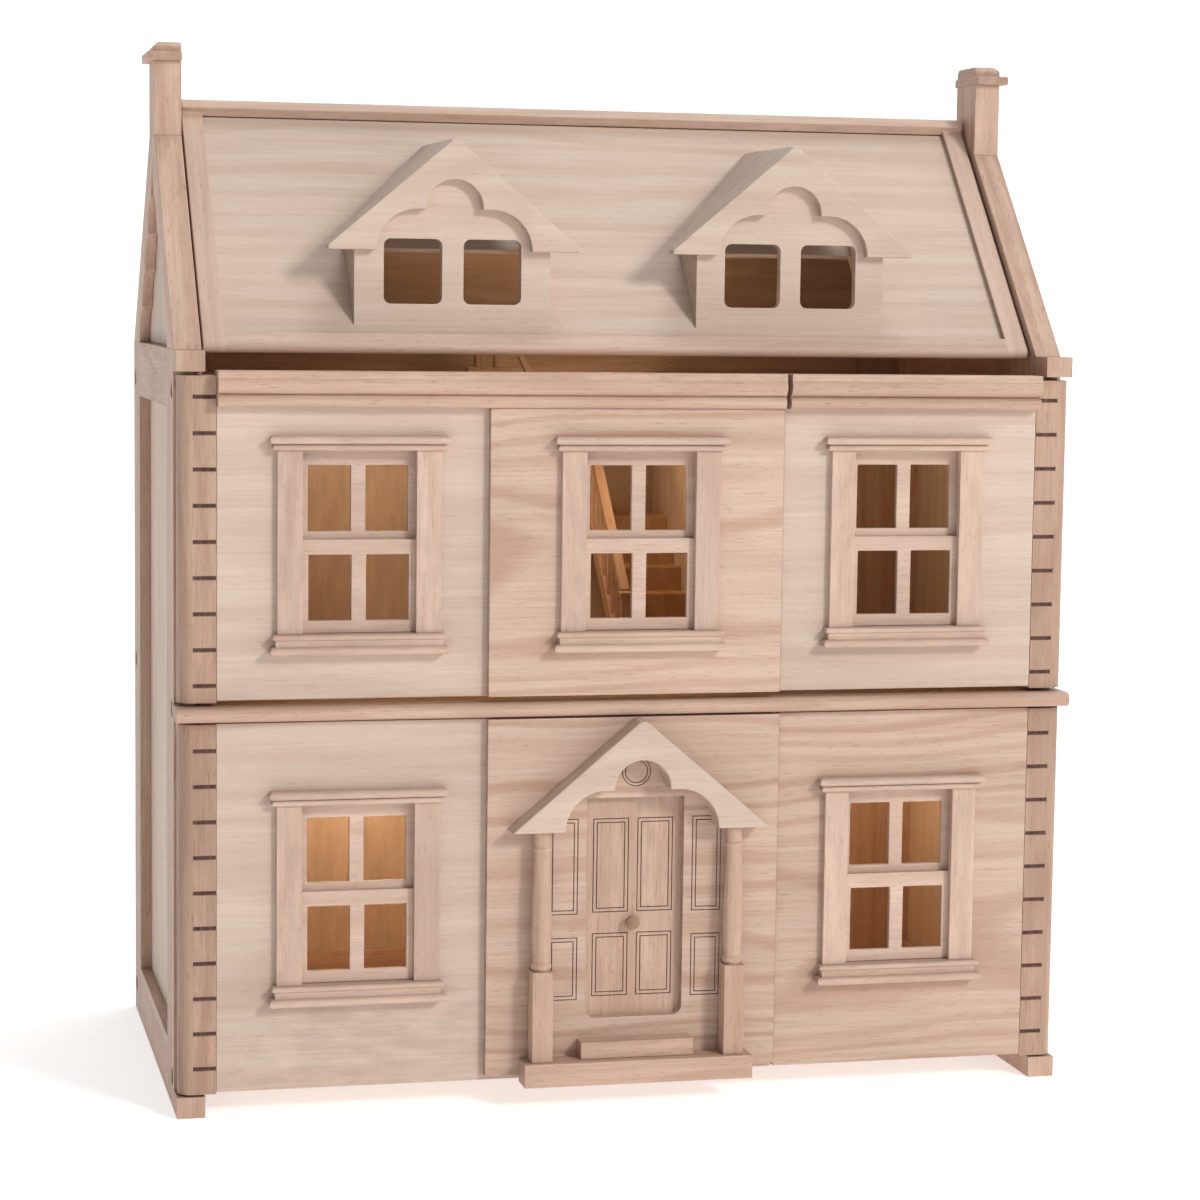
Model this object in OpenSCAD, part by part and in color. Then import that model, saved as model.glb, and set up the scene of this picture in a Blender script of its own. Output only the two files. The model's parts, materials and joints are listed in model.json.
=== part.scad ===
// Wooden dollhouse: two storeys and an attic, four hinged front doors with sliding sash
// windows, a lifting front roof with two dormers, a porch, and a staircase.
// Millimetres. +X right, -Y front, +Z up. Origin: middle of the footprint, on the floor.

/* [Carcass] */
// Width over the two side frames
house_w = 630; // [620:2:660]
// Depth of the side frames without their noses and feet
side_d = 314; // [304:2:330]
// Height of the side frames, where the gables stand
side_h = 518; // [516:1:524]
// Thickness of side frames, gables and chimneys
board_t = 19; // [18:1:22]
// Width of the upright stiles of a side frame
stile_w = 48; // [40:1:60]
// Height of the top and bottom rails of a side frame
rail_h = 40; // [34:1:46]
// How far the noses and feet reach in front of the side frames
nose_out = 22; // [22:0.5:24]
// Thickness of plywood in the framed panels
ply_t = 4; // [3:0.5:5]

/* [Floors and walls] */
// Thickness of each floor board
floor_t = 10; // [8:0.5:12]
// Underside of the ground floor
ground_z = 16; // [15:0.5:18]
// Underside of the middle floor
middle_z = 270.5; // [268:0.5:272]
// Underside of the attic floor
attic_z = 486; // [482:0.5:488]
// Thickness of the back wall frame
back_t = 16; // [14:0.5:18]
// Thickness of the two partition walls
wall_t = 9; // [6:0.5:10]
// Left face of the partition walls
wall_x = 88; // [88:0.5:92]

/* [Roof] */
// Slope of the roof in degrees
pitch = 47.2; // [46.8:0.2:47.6]
// Depth of a rafter, measured square to the slope
rafter_w = 34; // [30:1:38]
// Depth of the chimneys from front to back
chimney_d = 40; // [40:1:44]
// Height of the chimney tops above the floor, without the caps
chimney_top = 718; // [710:1:730]
// Thickness of the framed roof panels
roof_t = 14; // [13:0.5:14]
// How far the roof panels lie below the outer faces of the rafters
roof_recess = 5; // [5:0.5:6]
// Gap between the lifting roof and the gable at each side
roof_gap = 2; // [2:0.5:4]

/* [Doors] */
// Thickness of the door panels
door_t = 9; // [8.6:0.2:10]
// How far the middle bay boards stand proud of the door panels
bay_t = 6; // [5:0.5:7]
// Radius of the rounded edge of a pivot post
post_r = 9.5; // [9:0.1:9.5]
// Diameter of the pivot dowels
pin_d = 7.5; // [6:0.5:8]
// Spacing of the burnt quoin lines on the pivot posts
quoin_step = 24.1; // [22:0.1:24.1]

/* [Windows] */
// Clear width between the jambs
win_w = 77; // [74:1:80]
// Clear height between sill and hood
win_h = 123; // [123:1:126]
// Distance of the outer windows from the middle of the house
win_x = 193; // [190:0.5:196]
// Underside of the upper window sills
win_upper_z = 315; // [312:0.5:318]
// Underside of the lower window sills
win_lower_z = 75.7; // [72:0.5:80]

/* [Porch and dormers] */
// Distance of each dormer from the middle of the house
dormer_x = 121; // [110:1:135]
// Half the width of a pediment
pediment_w = 91; // [88:0.5:93]
// Height of a pediment
pediment_h = 77.2; // [76:0.2:78]
// How far the porch slab reaches in front of the side frames
porch_out = 49; // [47:0.5:55]

/* [Hidden] */
$fn = 48;
eps = 1;
half_w = house_w / 2;
inner_x = half_w - board_t;
ridge_y = side_d / 2;
y_shift = -(side_d - porch_out) / 2;

// Grooves that hold the plywood panels
groove = 5;
slack = 0.2;
panel_in = 8;
joint = 0.1;

// Doors
door_front = -22;
pin_y = -post_r - 1;
pin_x = half_w - 1 - post_r;
post_in = half_w - 26.5;
floor_nose = 12;
floor_nose_x = 285;
foot_h = 14.5;
post_bottom = 16;
nose_h = 14;
split_left = 102;
split_right = 103.5;
bay_left = -104.5;
bay_front = door_front - bay_t;
string_top = middle_z + floor_t;
lower_door_z = 17.3;
lower_door_top = middle_z - 1.5;
upper_door_z = string_top + 4;
upper_door_top = 505;
upper_post_z = string_top + 2.5;
lower_post_top = middle_z - 2;
upper_post_top = 501.5;
cornice_z = 481;
cornice_top = 505;
bore_d = pin_d + 0.1;
pin_grip = 18;
line_t = 0.7;
etch = 0.6;
quoin_h = 3;
quoin_l = 16;

// Windows
jamb_w = 17;
casing_w = win_w + 2 * jamb_w;
hood_w = casing_w + 11;
sill_h = 14;
hood_h = 10;
sash_t = 4.2;
sash_pocket = 4.6;
sash_lap = 3;
sash_rail = 8.5;
sash_stile = 7.5;
pane_h = 44.5;
muntin = 10;
lower_sash_h = 63;
upper_sash_z = 60;

// Roof
chimney_y = ridge_y - chimney_d / 2;
chimney_z = side_h + chimney_y * tan(pitch);
roof_half = inner_x - roof_gap;
rail_w = 15;
eave_w = 24;
slope_bottom = -2.5;
eave_z = 516;
nose_r = 4;
ridge_proud = 5;
roof_grip = 9.5;
top_rail_s = 230.4;
top_rail_end = 240.4;
pivot_s = 233.4;
pivot_w = -10.7;
rear_top_s = 208;
roof_ply_w = -roof_recess - ply_t;
dormer_hole = 118;
scallop_step = 36.25;
scallop_depth = 6;
scallop_r = 30.4;

// Dormers
dormer_half = 68.5;
dormer_face_y = 28;
dormer_t = 8;
dormer_base = 586.5;
dormer_pediment_t = 8;
tip_cut = 3.5;
top_lobe_z = 29;
top_lobe_r = 19.5;
side_lobe_x = 26;
side_lobe_r = 28;
slab_reach = 120;
pane_w = 40.5;
dormer_pane_h = 44.5;
pane_gap = 15;
pane_r = 5;
dormer_pane_z = 550;

// Porch
pediment_z = 193;
pediment_front = -48;
slab_half = 81;
slab_z = 16.5;
slab_h = 16.5;
step_out = 13;
column_x = 68;
column_y = -37.7;
pedestal_w = 14.5;
pedestal_top = 96;
recess_half = 34.5;
pediment_tip = 75.3;
recess_z = 59;
recess_top = 213;
recess_r = 7;
leaf_y = -21;
knob_x = -1;
knob_z = 124.7;

// Staircase: up towards the back, a landing, then up to the left
stair_x0 = 30;
stair_y0 = 122;
landing_y = 234.5;
left_run = 17;
stair_band = 12;
head_w = 6;
upper_risers = 6;
lower_risers = 7;
upper_rise = (attic_z + floor_t - string_top) / (2 * upper_risers);
lower_rise = (middle_z - ground_z) / (2 * lower_risers);
string_x = 24.4;
string_w = 5.2;
baluster_d = 4;
baluster_step = 14;
rail_rise = 58;

// Fixing bolts through the sides into the floor edges
bolt_head_d = 12;
bolt_d = 5;
bolt_reach = 15;
bolt_ys = [13, 302];
bolt_zs = [ground_z + floor_t / 2, middle_z + floor_t / 2, attic_z + floor_t / 2];

// Colours
bare_wood = "#d8bfa2";
pale_ply = "#dccab0";
warm_wood = "#c9a682";
dark_metal = "#4a4642";

// Puts geometry drawn from the front edge of the side frames into the part's own frame
module placed() {
    translate([0, y_shift, 0]) children();
}

// Draws the left-hand shape, or its mirror image on the right
module sided(right) {
    mirror([right ? 1 : 0, 0, 0]) children();
}

// Local y runs up the front slope and local z stands square to it
module on_slope() {
    translate([0, 0, side_h]) rotate([pitch, 0, 0]) children();
}

module on_rear_slope() {
    translate([0, side_d, 0]) mirror([0, 1, 0]) on_slope() children();
}

// Extrudes an outline drawn in (y, z) along x
module along_x(x0, length) {
    translate([x0, 0, 0]) rotate([90, 0, 90]) linear_extrude(length) children();
}

// Extrudes an outline drawn in (x, z) backwards from the plane y0
module facing(y0, depth) {
    translate([0, y0 + depth, 0]) rotate([90, 0, 0]) linear_extrude(depth) children();
}

module box(x0, x1, y0, y1, z0, z1) {
    translate([x0, y0, z0]) cube([x1 - x0, y1 - y0, z1 - z0]);
}

module rounded_rect(w, h, r) {
    for (x = [r, w - r], y = [r, h - r]) {
        translate([x, y]) circle(r);
    }
    translate([r, 0]) square([w - 2 * r, h]);
    translate([0, r]) square([w, h - 2 * r]);
}

// ---- Side frames -----------------------------------------------------------

module bolt_holes() {
    for (y = bolt_ys, z = bolt_zs) {
        translate([-half_w - eps, y, z]) rotate([0, 90, 0]) cylinder(d = bolt_head_d, h = 5 + eps);
        translate([-half_w, y, z]) rotate([0, 90, 0]) cylinder(d = bolt_d, h = board_t + bolt_reach);
    }
}

module pin_bores(d) {
    for (z = [4, side_h - nose_h - eps]) {
        translate([-pin_x, pin_y, z]) cylinder(d = d, h = 11);
    }
}

// One frame with its stiles, rails, the nose over the door and the foot under it
module side_frame(right) color(bare_wood) placed() sided(right) {
    difference() {
        union() {
            box(-half_w, -inner_x, 0, side_d, 0, side_h);
            box(-half_w, -inner_x, -nose_out, eps, side_h - nose_h, side_h);
            box(-half_w, -inner_x, -nose_out, eps, 0, foot_h);
        }
        box(-half_w - eps, -inner_x + eps, stile_w, side_d - stile_w, rail_h, side_h - rail_h);
        box(-half_w + panel_in - slack, -half_w + panel_in + ply_t + slack,
            stile_w - groove - slack, side_d - stile_w + groove + slack,
            rail_h - groove - slack, side_h - rail_h + groove + slack);
        for (y = [stile_w, side_d - stile_w], z = [-eps, side_h - rail_h]) {
            box(-half_w - eps, -inner_x + eps, y - joint / 2, y + joint / 2, z, z + rail_h + eps);
        }
        bolt_holes();
        pin_bores(pin_d);
    }
}

module side_panels() color(pale_ply) placed() {
    for (right = [false, true]) sided(right) {
        box(-half_w + panel_in, -half_w + panel_in + ply_t,
            stile_w - groove, side_d - stile_w + groove,
            rail_h - groove, side_h - rail_h + groove);
    }
}

module side_bolts() color(dark_metal) placed() {
    for (right = [false, true], y = bolt_ys, z = bolt_zs) sided(right) {
        translate([-half_w + 1.2, y, z]) rotate([0, 90, 0]) difference() {
            cylinder(d = bolt_head_d, h = 3.8);
            translate([0, 0, -eps]) cylinder(d = 5, h = 3, $fn = 6);
        }
        translate([-half_w + 5, y, z]) rotate([0, 90, 0])
            cylinder(d = bolt_d, h = board_t + bolt_reach - 5);
    }
}

// ---- Gables and chimneys ---------------------------------------------------

// Triangle under the inner edges of the rafters, grown by g
module gable_triangle(g) {
    inset = rafter_w / sin(pitch) - g / sin(pitch);
    apex = side_h + (ridge_y - inset) * tan(pitch);
    polygon([[inset, side_h], [side_d - inset, side_h], [ridge_y, apex]]);
}

// Five lobes up each inner edge, the top pair meeting in a point under the chimney
module gable_lobes() {
    inset = rafter_w / sin(pitch);
    back = scallop_r - scallop_depth;
    intersection() {
        union() {
            gable_triangle(0);
            for (i = [0 : 4]) {
                s = (i + 0.5) * scallop_step;
                translate([inset + s * cos(pitch) + back * sin(pitch),
                    side_h + s * sin(pitch) - back * cos(pitch)]) circle(scallop_r);
            }
        }
        translate([0, side_h]) square([ridge_y + joint / 2, side_d]);
    }
}

module gable_opening() {
    gable_lobes();
    translate([side_d, 0]) mirror([1, 0]) gable_lobes();
}

module gable_outline() {
    polygon([
        [0, side_h], [chimney_y, chimney_z],
        [side_d - chimney_y, chimney_z], [side_d, side_h],
    ]);
}

module gable_frame(right) color(bare_wood) placed() sided(right) {
    difference() {
        along_x(-half_w, board_t) difference() {
            gable_outline();
            gable_opening();
        }
        along_x(-half_w + panel_in - slack, ply_t + 2 * slack) gable_triangle(groove + 3 + slack);
        box(-half_w - eps, -inner_x + eps, ridge_y - joint / 2, ridge_y + joint / 2,
            side_h, chimney_top);
    }
}

module gable_panels() color(pale_ply) placed() {
    for (right = [false, true]) sided(right) {
        along_x(-half_w + panel_in, ply_t) intersection() {
            gable_triangle(groove + 3);
            translate([0, side_h]) square([side_d, side_d]);
        }
    }
}

module chimneys() color(bare_wood) placed() {
    for (right = [false, true]) sided(right) difference() {
        box(-half_w, -inner_x, chimney_y, side_d - chimney_y, chimney_z, chimney_top);
        roof_pin_space(pin_d);
    }
}

// Each cap oversails the chimney in front, behind and outside, and is flush inside
module chimney_caps() color(bare_wood) placed() {
    lip = 5;
    lip_h = 6;
    crown_h = 7;
    crown = 3;
    for (right = [false, true]) sided(right) {
        box(-half_w - lip, -inner_x, chimney_y - lip, side_d - chimney_y + lip,
            chimney_top, chimney_top + lip_h);
        translate([0, 0, chimney_top + lip_h]) difference() {
            box(-half_w, -inner_x, chimney_y, side_d - chimney_y, -eps, crown_h);
            for (y = [chimney_y, side_d - chimney_y]) {
                translate([-ridge_y * 3, y, crown_h]) rotate([45, 0, 0])
                    cube([side_d * 3, crown * sqrt(2), crown * sqrt(2)], center = true);
            }
            translate([-half_w, ridge_y, crown_h]) rotate([0, 45, 0])
                cube([crown * sqrt(2), side_d, crown * sqrt(2)], center = true);
        }
    }
}

// ---- Floors, back and partitions -------------------------------------------

module floor_board(z) {
    difference() {
        box(-inner_x, inner_x, 0, side_d - back_t, z, z + floor_t);
        for (right = [false, true]) sided(right) bolt_holes();
    }
}

// Ground and attic floors reach forward between the posts and stop the doors
module fronted_floor(z) {
    floor_board(z);
    box(-floor_nose_x, floor_nose_x, -floor_nose, eps, z, z + floor_t);
}

// The stairwell runs along the back wall above the landing of the flight below
module stairwell(z, risers) {
    box(stair_x0 - (risers - 1) * left_run - 3 * joint, wall_x, landing_y, side_d,
        z - eps, z + floor_t + eps);
}

module ground_floor() color(bare_wood) placed() fronted_floor(ground_z);

module middle_floor() color(bare_wood) placed() difference() {
    floor_board(middle_z);
    stairwell(middle_z, lower_risers);
}

module attic_floor() color(bare_wood) placed() difference() {
    fronted_floor(attic_z);
    stairwell(attic_z, upper_risers);
}

// Rounded moulding along the front of the middle floor, which also holds the door dowels
module string_course() color(bare_wood) placed() {
    r = floor_t / 2;
    reach = 32;
    difference() {
        union() {
            box(-half_w - 1, half_w + 1, -reach + r, -joint, middle_z, string_top);
            translate([-half_w - 1, -reach + r, middle_z + r]) rotate([0, 90, 0])
                cylinder(r = r, h = house_w + 2);
        }
        for (x = [-pin_x, pin_x]) {
            translate([x, pin_y, middle_z - eps]) cylinder(d = pin_d, h = floor_t + 2 * eps);
        }
    }
}

back_bays = [
    [-256, -20, 40, 256], [20, 256, 40, 256],
    [-256, -20, 296, 470], [20, 256, 296, 470],
];

module back_frame() color(bare_wood) placed() {
    mid_y = side_d - back_t / 2;
    difference() {
        box(-inner_x, inner_x, side_d - back_t, side_d, ground_z, side_h);
        for (b = back_bays) {
            box(b[0], b[1], side_d - back_t - eps, side_d + eps, b[2], b[3]);
            box(b[0] - groove - slack, b[1] + groove + slack,
                mid_y - ply_t / 2 - slack, mid_y + ply_t / 2 + slack,
                b[2] - groove - slack, b[3] + groove + slack);
        }
        for (right = [false, true]) sided(right) bolt_holes();
    }
}

module back_panels() color(pale_ply) placed() {
    mid_y = side_d - back_t / 2;
    for (b = back_bays) {
        box(b[0] - groove, b[1] + groove, mid_y - ply_t / 2, mid_y + ply_t / 2,
            b[2] - groove, b[3] + groove);
    }
}

module partitions() color(pale_ply) placed() {
    for (span = [[ground_z + floor_t, middle_z], [string_top, attic_z]]) {
        box(wall_x, wall_x + wall_t, 0, side_d - back_t, span[0] + joint, span[1] - joint);
    }
}

// ---- Staircase ---------------------------------------------------------------

// Side view of a run of steps; a raking run also has a foot below its start and a head
// block that carries it up to the floor above
module steps_profile(risers, rise, run, raking) {
    last = risers - 1;
    head_z = risers * rise - floor_t - 2 * joint;
    under = last * rise - stair_band;
    treads = [for (i = [0 : last - 1], ahead = [0, 1]) [(i + ahead) * run, (i + 1) * rise]];
    if (raking) {
        polygon(concat([[0, -stair_band]], treads, [
            [last * run, head_z], [last * run + head_w, head_z], [last * run + head_w, under],
            [last * run, under],
        ]));
    } else {
        polygon(concat([[0, 0]], treads, [[last * run, under], [stair_band * run / rise, 0]]));
    }
}

// Two flights with a landing between them, each a separate block of wood
module stairs(z0, risers, rise) color(warm_wood) placed() {
    run = (landing_y - stair_y0) / (risers - 1);
    landing_z = z0 + risers * rise;
    translate([0, stair_y0, z0]) along_x(stair_x0, wall_x - joint - stair_x0)
        steps_profile(risers, rise, run, false);
    box(stair_x0, wall_x - joint, landing_y + joint, side_d - back_t - joint,
        landing_z - rise - stair_band, landing_z);
    translate([stair_x0 - joint, landing_y + joint, landing_z]) mirror([1, 0, 0])
        facing(0, side_d - back_t - landing_y - 2 * joint)
            steps_profile(risers, rise, left_run, true);
}

// Balusters stand on a sloping string board and run up into the handrail
module baluster_set(z0, risers, rise) {
    slope = risers * rise / (landing_y - stair_y0);
    count = floor((landing_y - stair_y0 - 12) / baluster_step);
    for (i = [0 : count]) {
        y = stair_y0 + 8 + i * baluster_step;
        z = z0 + (y - stair_y0) * slope;
        translate([string_x + string_w / 2, y, z + 2]) cylinder(d = baluster_d, h = rail_rise);
    }
}

module string_board(z0, risers, rise) {
    slope = risers * rise / (landing_y - stair_y0);
    length = landing_y - stair_y0;
    difference() {
        translate([0, stair_y0, z0]) along_x(string_x, string_w) polygon([
            [-1.8, 0], [10, 0], [length, (length - 10) * slope],
            [length, length * slope + 6], [-1.8, 6],
        ]);
        baluster_set(z0, risers, rise);
    }
}

module handrail(z0, risers, rise) {
    slope = risers * rise / (landing_y - stair_y0);
    length = landing_y - stair_y0;
    difference() {
        translate([0, stair_y0, z0 + rail_rise - 3]) along_x(string_x - 0.9, 7) polygon([
            [-0.8, -0.8 * slope], [length, length * slope],
            [length, length * slope + 8], [-0.8, 8 - 0.8 * slope],
        ]);
        baluster_set(z0, risers, rise);
    }
}

// Draws its children once for each storey's stair
module both_stairs() color(bare_wood) placed() children();

module newel(z) {
    translate([22, stair_y0 - 12, z]) cube([10, 10, 56.5]);
    translate([21, stair_y0 - 13, z + 56.6]) cube([12, 12, 4]);
}

// Short railing at the head of the stairs, with a sloping brace
module attic_railing() color(bare_wood) placed() {
    y = 230;
    z = attic_z + floor_t;
    box(-72, -38, y - 4, y + 4, z, z + 6);
    for (x = [-64, -49]) translate([x, y, z + 6 + joint]) cylinder(d = 5.6, h = 26);
    box(-72, -42, y - 4, y + 4, z + 32 + 2 * joint, z + 39);
    facing(y - 2.5, 5) polygon([
        [-42 + joint, z + 33], [-42 + joint, z + 39], [-20, z + joint], [-25.5, z + joint],
    ]);
}

// ---- Roof ----------------------------------------------------------------------

module roof_pin_space(d) {
    y = pivot_s * cos(pitch) - pivot_w * sin(pitch);
    z = side_h + pivot_s * sin(pitch) + pivot_w * cos(pitch);
    translate([-inner_x - 12, y, z]) rotate([0, 90, 0]) cylinder(d = d, h = 12 + eps);
}

module rear_roof_frame() color(bare_wood) placed() on_rear_slope() difference() {
    box(-inner_x, inner_x, 12, rear_top_s, -roof_recess - roof_t, -roof_recess);
    box(-inner_x + rail_w, inner_x - rail_w, 12 + eave_w, rear_top_s - rail_w,
        -roof_recess - roof_t - eps, eps);
    box(-inner_x + rail_w - groove - slack, inner_x - rail_w + groove + slack,
        12 + eave_w - groove - slack, rear_top_s - rail_w + groove + slack,
        roof_ply_w - ply_t - slack, roof_ply_w + slack);
    for (x = [-inner_x + rail_w, inner_x - rail_w]) {
        box(x - joint / 2, x + joint / 2, 0, 12 + eave_w + eps, -side_h, eps);
        box(x - joint / 2, x + joint / 2, rear_top_s - rail_w - eps, side_h, -side_h, eps);
    }
}

module rear_roof_sheet() color(pale_ply) placed() on_rear_slope() {
    box(-inner_x + rail_w - groove, inner_x - rail_w + groove,
        12 + eave_w - groove, rear_top_s - rail_w + groove,
        roof_ply_w - ply_t, roof_ply_w);
}

// Sharp corner between the level underside and the slope, outside a round nose
module nose_waste() {
    reach = nose_r / tan(pitch / 2);
    difference() {
        polygon([
            [-3 * eps, -eps], [reach, -eps], [reach, nose_r],
            [reach * cos(pitch) - eps * sin(pitch), reach * sin(pitch) + eps * cos(pitch)],
        ]);
        translate([reach, nose_r]) circle(nose_r);
    }
}

// The lifting frame: two stiles, a round-nosed eave rail cut level underneath, and a top
// rail that stands proud of the stiles
module front_roof_frame() color(bare_wood) placed() difference() {
    nose_y = roof_recess * sin(pitch) + (eave_z - side_h + roof_recess * cos(pitch)) / tan(pitch);
    ridge_top = ridge_proud - roof_recess;
    on_slope() difference() {
        union() {
            box(-roof_half, roof_half, slope_bottom - rail_w, top_rail_end - nose_r,
                -roof_recess - roof_t, -roof_recess);
            box(-roof_half, roof_half, top_rail_s, top_rail_end - nose_r,
                -roof_recess - roof_t, ridge_top);
            box(-roof_half, roof_half, top_rail_s, top_rail_end,
                -roof_recess - roof_t, ridge_top - nose_r);
            translate([-roof_half, top_rail_end - nose_r, ridge_top - nose_r])
                rotate([0, 90, 0]) cylinder(r = nose_r, h = 2 * roof_half);
        }
        box(-roof_half + rail_w, roof_half - rail_w, slope_bottom + eave_w, top_rail_s,
            -roof_recess - roof_t - eps, 2 * ridge_proud);
        box(-roof_half + rail_w - groove - slack, roof_half - rail_w + groove + slack,
            slope_bottom + eave_w - groove - slack, top_rail_s + 3,
            roof_ply_w - ply_t - slack, roof_ply_w + slack);
        for (x = [-roof_half - eps, roof_half - roof_grip]) {
            translate([x, pivot_s, pivot_w]) rotate([0, 90, 0])
                cylinder(d = bore_d, h = roof_grip + eps);
        }
    }
    box(-half_w, half_w, -side_d, side_d, 0, eave_z);
    translate([0, nose_y, eave_z]) along_x(-half_w, house_w) nose_waste();
}

module roof_pins() {
    for (right = [false, true]) sided(right) on_slope() {
        translate([-inner_x - 12, pivot_s, pivot_w]) rotate([0, 90, 0])
            cylinder(d = pin_d, h = 12 + roof_gap + roof_grip - 0.5);
    }
}

// Plywood infill with an opening behind each dormer
module front_roof_sheet() color(pale_ply) placed() on_slope() difference() {
    box(-roof_half + rail_w - groove, roof_half - rail_w + groove,
        slope_bottom + eave_w - groove, top_rail_s - joint,
        roof_ply_w - ply_t, roof_ply_w);
    for (x = [-dormer_x, dormer_x]) {
        translate([x - dormer_hole / 2, 44, roof_ply_w - ply_t - eps])
            cube([dormer_hole, 60, ply_t + 2 * eps]);
    }
}

// Everything below the plywood's outer face, used to seat the dormers on the roof
module below_roof() {
    on_slope() box(-half_w, half_w, -side_d, side_h, -side_h, roof_ply_w);
}

module pediment_outline() {
    difference() {
        intersection() {
            polygon([[-pediment_w, 0], [pediment_w, 0], [0, pediment_h]]);
            translate([-pediment_w, 0]) square([2 * pediment_w, pediment_tip]);
        }
        translate([0, top_lobe_z]) circle(top_lobe_r);
        for (x = [-side_lobe_x, side_lobe_x]) translate([x, 0]) circle(side_lobe_r);
        translate([-side_lobe_x, -eps]) square([2 * side_lobe_x, side_lobe_r + eps]);
    }
}

// The two sloping slabs of a dormer roof, seen from the front
module dormer_slabs() {
    drop = dormer_t / cos(atan(pediment_h / pediment_w));
    inset = drop * pediment_w / pediment_h;
    polygon([
        [-pediment_w, 0], [0, pediment_h], [pediment_w, 0],
        [pediment_w - inset, 0], [0, pediment_h - drop], [-pediment_w + inset, 0],
    ]);
}

module under_slabs() {
    drop = dormer_t / cos(atan(pediment_h / pediment_w));
    inset = drop * pediment_w / pediment_h;
    polygon([
        [-pediment_w + inset, 0], [0, pediment_h - drop], [pediment_w - inset, 0],
        [pediment_w - inset, -80], [-pediment_w + inset, -80],
    ]);
}

// Face board with two round-cornered windows, and its triangular cheeks
module dormer_faces() color(bare_wood) placed() {
    for (x = [-dormer_x, dormer_x]) translate([x, 0, 0]) difference() {
        union() {
            facing(dormer_face_y, dormer_t) intersection() {
                translate([-dormer_half, 520]) square([2 * dormer_half, 160]);
                translate([0, dormer_base]) under_slabs();
            }
            for (side = [-1, 1]) facing(dormer_face_y + dormer_t - 0.1, 70) intersection() {
                translate([side * (dormer_half - dormer_t / 2) - dormer_t / 2, 520])
                    square([dormer_t, 160]);
                translate([0, dormer_base]) under_slabs();
            }
        }
        for (px = [-pane_gap / 2 - pane_w, pane_gap / 2]) {
            facing(dormer_face_y - eps, dormer_t + 2 * eps) translate([px, dormer_pane_z])
                rounded_rect(pane_w, dormer_pane_h, pane_r);
        }
        below_roof();
    }
}

// Scalloped pediment board with the two roof slabs behind it
module dormer_roofs() color(bare_wood) placed() {
    for (x = [-dormer_x, dormer_x]) translate([x, 0, 0]) {
        facing(dormer_face_y - dormer_pediment_t, dormer_pediment_t)
            translate([0, dormer_base]) intersection() {
                pediment_outline();
                square([2 * (pediment_w - tip_cut), 2 * pediment_h], center = true);
            }
        difference() {
            intersection() {
                facing(dormer_face_y, slab_reach) translate([0, dormer_base]) dormer_slabs();
                translate([0, dormer_face_y, dormer_base]) linear_extrude(pediment_h + eps)
                    polygon([
                        [tip_cut - pediment_w, -eps], [tip_cut - pediment_w, tip_cut],
                        [0, slab_reach + eps],
                        [pediment_w - tip_cut, tip_cut], [pediment_w - tip_cut, -eps],
                    ]);
            }
            below_roof();
        }
    }
}

// ---- Doors ---------------------------------------------------------------------

// Dowels held by the feet, the string course and the noses
module door_pins() {
    for (x = [-pin_x, pin_x], span = [
        [4, post_bottom + pin_grip - 2],
        [lower_post_top - pin_grip + 2, upper_post_z + pin_grip - 2],
        [upper_post_top - pin_grip + 2, side_h - nose_h + 9],
    ]) {
        translate([x, pin_y, span[0]]) cylinder(d = pin_d, h = span[1] - span[0]);
    }
}

// Pivot post with a rounded outer edge, bored at both ends and marked with quoin lines
module door_post(right, z0, z1, first, marks) color(bare_wood) placed() sided(right) {
    difference() {
        union() {
            for (y = [pin_y, door_front + post_r]) {
                translate([-pin_x, y, z0]) cylinder(r = post_r, h = z1 - z0);
            }
            box(-pin_x - post_r, -pin_x, door_front + post_r, pin_y, z0, z1);
            box(-pin_x, -post_in - joint, door_front, pin_y + post_r, z0, z1);
        }
        for (z = [z0 - eps, z1 - pin_grip]) {
            translate([-pin_x, pin_y, z]) cylinder(d = bore_d, h = pin_grip + eps);
        }
        for (i = [0 : marks - 1]) {
            z = first + i * quoin_step;
            box(-post_in - quoin_l, -post_in + eps, door_front - eps, door_front + etch,
                z - quoin_h / 2, z + quoin_h / 2);
        }
    }
}

// The space that a window needs in the boards behind its face: a front channel for the
// lower sash, a rear rebate for the top sash and a clear way through
module window_space(x, z, face) {
    top = z + sill_h + win_h;
    half = win_w / 2 + sash_lap + 0.3;
    box(x - half, x + half, face - eps, face + sash_pocket, z + sill_h, top);
    box(x - half, x + half, face + sash_pocket - eps, face + door_t + 0.1,
        z + sill_h + upper_sash_z, top);
    box(x - win_w / 2, x + win_w / 2, face - eps, door_front + door_t + eps, z + sill_h, top);
}

module door_panel(x0, x1, z0, z1) {
    box(x0, x1, door_front, door_front + door_t, z0, z1);
}

module upper_left_panel() color(pale_ply) placed() difference() {
    door_panel(-post_in, split_left, upper_door_z, upper_door_top);
    window_space(-win_x, win_upper_z, door_front);
    window_space(0, win_upper_z, bay_front);
}

module upper_bay_board() color(bare_wood) placed() difference() {
    box(bay_left, split_left, bay_front, door_front, upper_door_z, cornice_z);
    window_space(0, win_upper_z, bay_front);
}

module upper_right_panel() color(pale_ply) placed() difference() {
    door_panel(split_right, post_in, upper_door_z, upper_door_top);
    window_space(win_x, win_upper_z, door_front);
}

module lower_left_panel() color(pale_ply) placed() difference() {
    door_panel(-post_in, split_left, lower_door_z, lower_door_top);
    window_space(-win_x, win_lower_z, door_front);
    door_recess();
}

module lower_right_panel() color(pale_ply) placed() difference() {
    door_panel(split_right, post_in, lower_door_z, lower_door_top);
    window_space(win_x, win_lower_z, door_front);
}

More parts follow.
